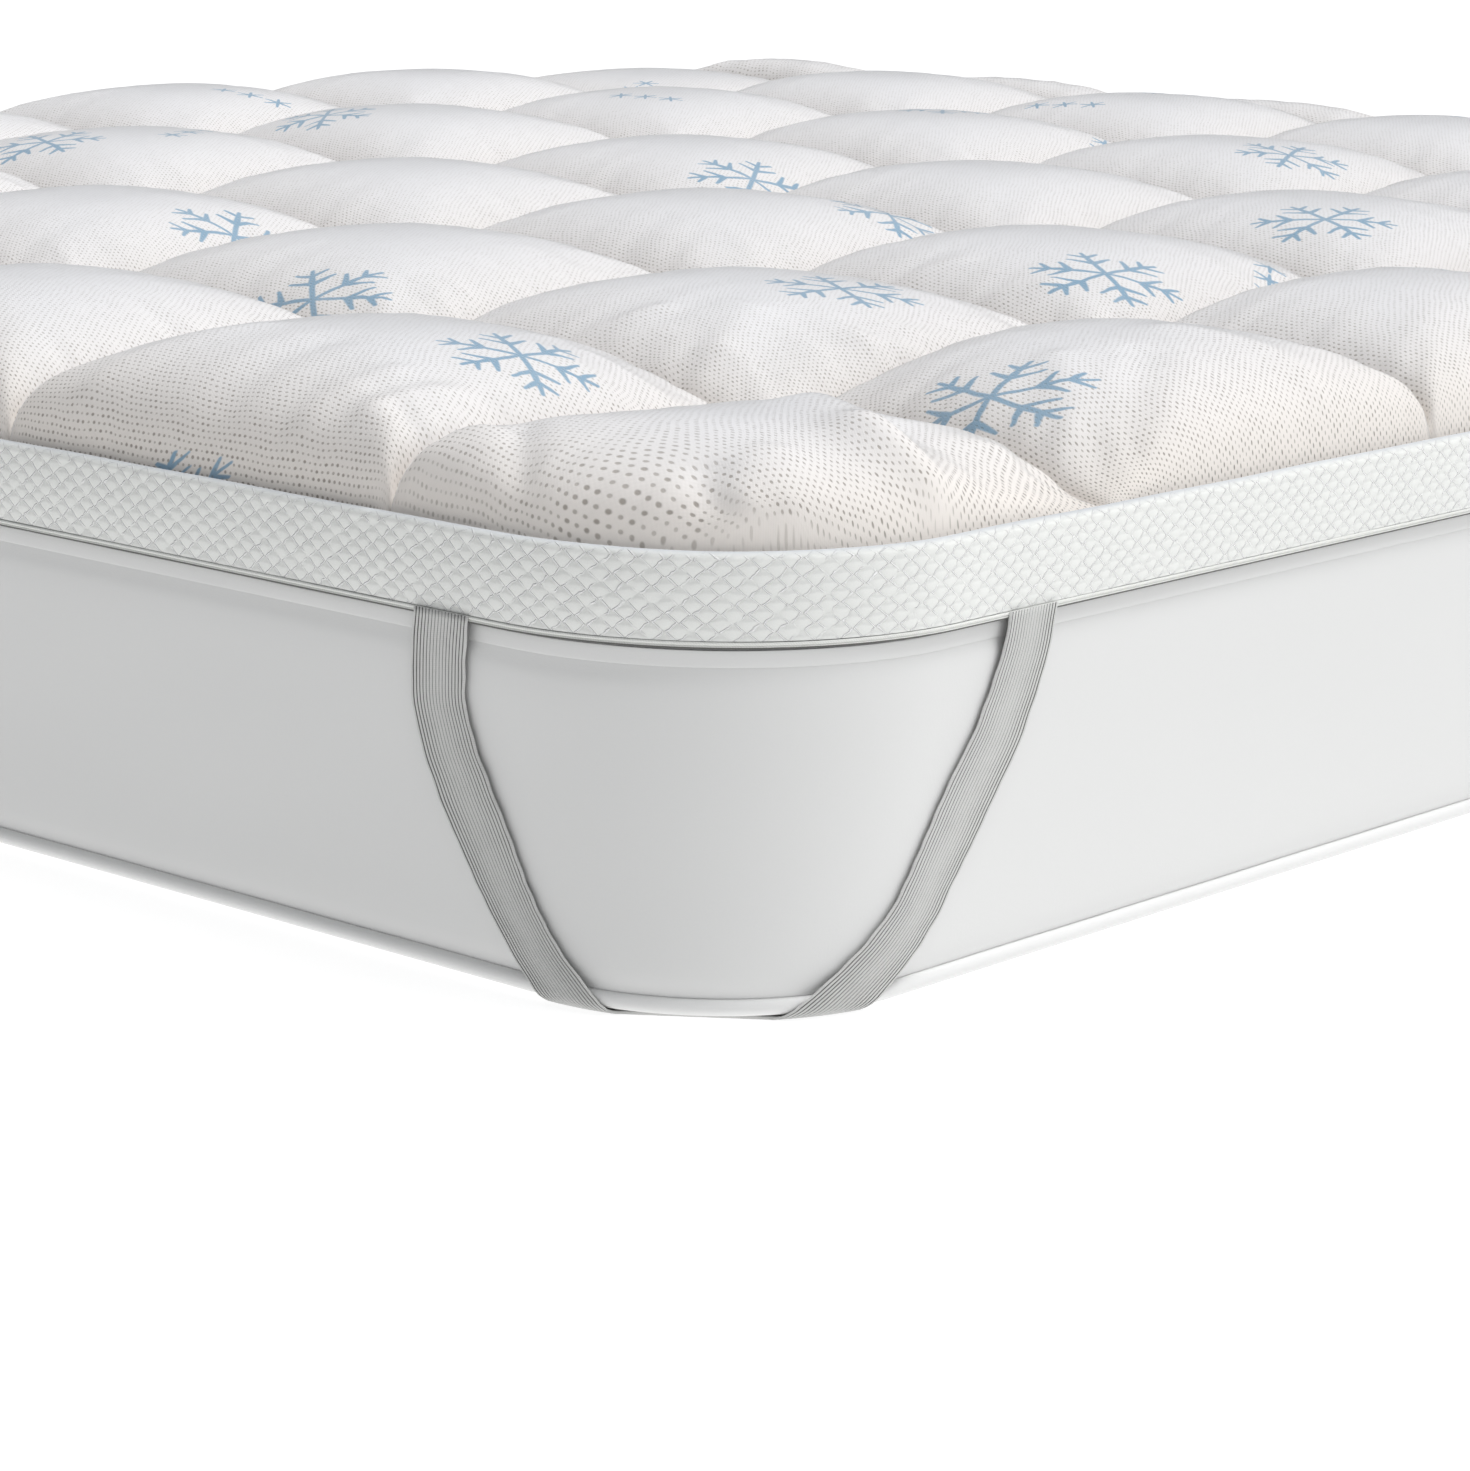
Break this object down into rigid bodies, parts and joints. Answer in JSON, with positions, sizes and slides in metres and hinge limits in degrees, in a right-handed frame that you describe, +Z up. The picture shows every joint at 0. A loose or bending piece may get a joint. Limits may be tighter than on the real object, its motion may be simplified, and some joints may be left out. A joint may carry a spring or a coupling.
{
  "type": "mattress topper on a mattress",
  "caption": "Box-quilted knitted mattress topper with a mesh border, lying on a plain mattress and held by an elastic strap round each corner.",
  "frame": {"origin": "middle of the mattress's underside, which is the middle of the base of the whole box", "axes": "+Z up, +Y along the bed from foot to head, +X across it to the right"},
  "size_m": [1.8052, 2.0052, 0.3118],
  "materials": {
    "quilted_knit": "matt knit with pinprick eyelets and pale blue motifs",
    "border_mesh": "spacer mesh with a fine scale pattern",
    "edge_tape": "smooth folded tape with a line of stitching",
    "elastic": "ribbed woven elastic",
    "mattress_cover": "smooth close knit",
    "mattress_piping": "smooth stuffed piping"
  },
  "bodies": {
    "root": {"quilted_pad": "quilted_knit", "border_band": "border_mesh", "edge_tape": "edge_tape", "strap_foot_right": "elastic", "strap_foot_left": "elastic", "strap_head_right": "elastic", "strap_head_left": "elastic", "mattress_body": "mattress_cover", "mattress_lower_piping": "mattress_piping", "mattress_upper_piping": "mattress_piping"}
  },
  "joints": []
}
